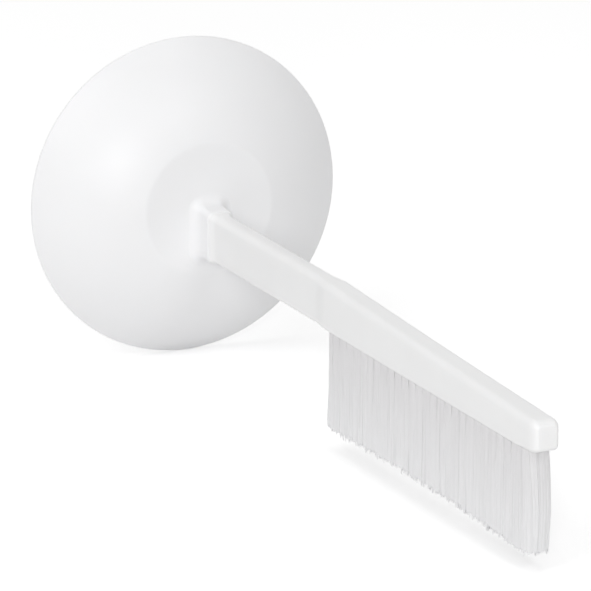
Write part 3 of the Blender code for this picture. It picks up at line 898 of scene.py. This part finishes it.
def add_bristle_row(row, bristles, material):
    """One row of tufts, as filaments that start in the drilled holes."""
    nodes = [name for name in TUFT_NODES if name.startswith(f"tuft_{row}_")]
    if not nodes:
        raise RuntimeError(f"the packed model has no tufts in the {row} row")
    mouths = [tuft_mouth(node) for node in nodes]
    row_end = max(tuft_mouth(node).x for node in TUFT_NODES)
    points, faces, total = [], [], 0
    for index, mouth in enumerate(mouths):
        chance = np.random.default_rng([bristles.seed, len(row), index])
        tuft = {"mouth": mouth, "end": -1 if index == 0 else 1 if index == len(nodes) - 1 else 0,
                "row_start": mouths[0].x, "row_end": row_end, "short_by": row_end - mouths[-1].x}
        for part_points, part_faces in tuft_parts(tuft, bristles, chance):
            points.append(part_points)
            faces += [[corner + total for corner in face] for face in part_faces]
            total += len(part_points)
    mesh = bpy.data.meshes.new(f"bristles_{row}")
    mesh.from_pydata(np.concatenate(points).tolist(), [], faces)
    mesh.validate()
    mesh.shade_smooth()
    dress(new_object(f"bristles_{row}", mesh), material, nodes)


class BRUSH_OT_add_bristles(bpy.types.Operator):
    """Adds both staggered rows of bristles"""
    bl_idname = "brush.add_bristles"
    bl_label = "Add Bristles"

    def execute(self, context):
        bristles = context.scene.brush_bristles
        material = drawn_polyester_filament(
            "drawn_polyester_filament", bristles.shaded_root_colour, bristles.lit_end_colour, bristles.thickness,
            BAR_LOW.z, BAR_LOW.z - bristles.tip_length)
        for row in ("right", "left"):
            add_bristle_row(row, bristles, material)
        return {"FINISHED"}


# Stage

def view_axes(azimuth, elevation):
    """The camera's right, up and backward directions."""
    right = Vector((math.cos(azimuth), math.sin(azimuth), 0))
    back = Vector((math.sin(azimuth) * math.cos(elevation), -math.cos(azimuth) * math.cos(elevation),
                   math.sin(elevation)))
    return right, back.cross(right), back


def add_camera(stage, shield):
    """Long lens at the photograph's angle, with the middle of the shield's disc where the picture has it."""
    disc_in_picture = Vector((209.46, 208.59))
    pixels_per_focal = IMAGE_WIDTH / SENSOR_WIDTH * stage.focal_length
    right, up, back = view_axes(stage.azimuth, stage.elevation)
    middle = Vector((IMAGE_WIDTH / 2, IMAGE_WIDTH / 2))
    offset = (disc_in_picture - middle) * stage.distance / pixels_per_focal
    disc = Vector((SHIELD_HIGH.x - shield.sleeve_length, 0, (SHIELD_LOW.z + SHIELD_HIGH.z) / 2))
    data = bpy.data.cameras.new("camera")
    data.lens = stage.focal_length
    data.clip_start = 0.05
    data.clip_end = 50
    camera = new_object("camera", data)
    camera.rotation_mode = "QUATERNION"
    camera.rotation_quaternion = Matrix((right, up, back)).transposed().to_quaternion()
    camera.location = disc + back * stage.distance - right * offset.x + up * offset.y
    bpy.context.scene.camera = camera


def add_lamp(name, direction, distance, size, power, target):
    """Large soft square lamp that faces the target."""
    data = bpy.data.lights.new(name, "AREA")
    data.shape = "SQUARE"
    data.size = size
    data.energy = power
    lamp = new_object(name, data)
    lamp.location = target + direction.normalized() * distance
    lamp.rotation_mode = "QUATERNION"
    lamp.rotation_quaternion = direction.to_track_quat("Z", "Y")


def light_world(strength):
    """Even soft light from all round. Where it is the background it is plain white."""
    world = bpy.data.worlds.new("studio")
    bpy.context.scene.world = world
    world.use_nodes = True
    tree = world.node_tree
    tree.nodes.clear()
    mixed = add_node(tree, "ShaderNodeMix", {FIRST_VALUE: strength, SECOND_VALUE: 1.0},
                     {FACTOR: background_rays(tree)}, data_type="FLOAT")
    sky = add_node(tree, "ShaderNodeBackground", {"Color": (1, 1, 1, 1)},
                   {"Strength": mixed.outputs[MIXED_VALUE]})
    add_node(tree, "ShaderNodeOutputWorld", {}, {"Surface": sky.outputs[0]})


class BRUSH_OT_add_stage(bpy.types.Operator):
    """Adds the floor, the soft studio light and the camera"""
    bl_idname = "brush.add_stage"
    bl_label = "Add Stage"

    def execute(self, context):
        scene = context.scene
        stage, shield = scene.brush_stage, scene.brush_shield
        right, up, back = view_axes(stage.azimuth, stage.elevation)
        target, lamp_distance = Vector((0.2, 0, 0)), 2.6
        below_shield, paper_glow = 0.2 * MM, 0.35
        shape = bmesh.new()
        bmesh.ops.create_grid(shape, x_segments=1, y_segments=1, size=6)
        floor = new_object("floor", finished_mesh(shape, "floor"))
        floor.location = (0, 0, SHIELD_LOW.z - below_shield)
        floor.data.materials.append(paper_floor("white_paper", stage.background, paper_glow))
        for name, direction, size, power in (
                ("main_lamp", back - right * 0.9 + up * 0.8, 1.8, stage.main_power),
                ("front_lamp", back, 0.6, stage.front_power),
                ("top_lamp", up + back * 0.05, 1.8, stage.top_power),
                ("side_lamp", back + (right + up) * 0.5, 0.8, stage.side_power)):
            add_lamp(name, direction, lamp_distance, size, power, target)
        light_world(stage.daylight)
        add_camera(stage, shield)
        scene.view_settings.view_transform = "Standard"
        return {"FINISHED"}


# Panel and registration

class BRUSH_PT_panel(bpy.types.Panel):
    """Sizes, colours and pieces of the brush"""
    bl_idname = "BRUSH_PT_panel"
    bl_label = "Knife Cleaning Brush"
    bl_space_type = "VIEW_3D"
    bl_region_type = "UI"
    bl_category = "Brush"

    def draw(self, context):
        scene = context.scene
        for title, settings in (("Bar", scene.brush_bar), ("Shield", scene.brush_shield),
                                ("Bristles", scene.brush_bristles), ("Stage", scene.brush_stage)):
            box = self.layout.box()
            box.label(text=title)
            for name in settings.__annotations__:
                box.prop(settings, name)
        for operator in PIECES:
            self.layout.operator(operator.bl_idname)


PIECES = (BRUSH_OT_add_bar, BRUSH_OT_add_shield, BRUSH_OT_add_bristles, BRUSH_OT_add_stage)
GROUPS = {"brush_bar": BarSettings, "brush_shield": ShieldSettings, "brush_bristles": BristleSettings,
          "brush_stage": StageSettings}


def register():
    for group in GROUPS.values():
        bpy.utils.register_class(group)
    for operator in PIECES:
        bpy.utils.register_class(operator)
    bpy.utils.register_class(BRUSH_PT_panel)
    for name, group in GROUPS.items():
        setattr(bpy.types.Scene, name, bpy.props.PointerProperty(type=group))


def unregister():
    for name in GROUPS:
        delattr(bpy.types.Scene, name)
    bpy.utils.unregister_class(BRUSH_PT_panel)
    for operator in reversed(PIECES):
        bpy.utils.unregister_class(operator)
    for group in reversed(list(GROUPS.values())):
        bpy.utils.unregister_class(group)


def clear_startup_scene():
    """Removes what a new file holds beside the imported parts."""
    for obj in list(bpy.data.objects):
        if obj.type in ("CAMERA", "LIGHT") or obj.name == "Cube":
            bpy.data.objects.remove(obj, do_unlink=True)


def main():
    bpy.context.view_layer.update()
    clear_startup_scene()
    register()
    bpy.ops.brush.add_bar()
    bpy.ops.brush.add_shield()
    bpy.ops.brush.add_bristles()
    bpy.ops.brush.add_stage()


if __name__ == "__main__":
    main()
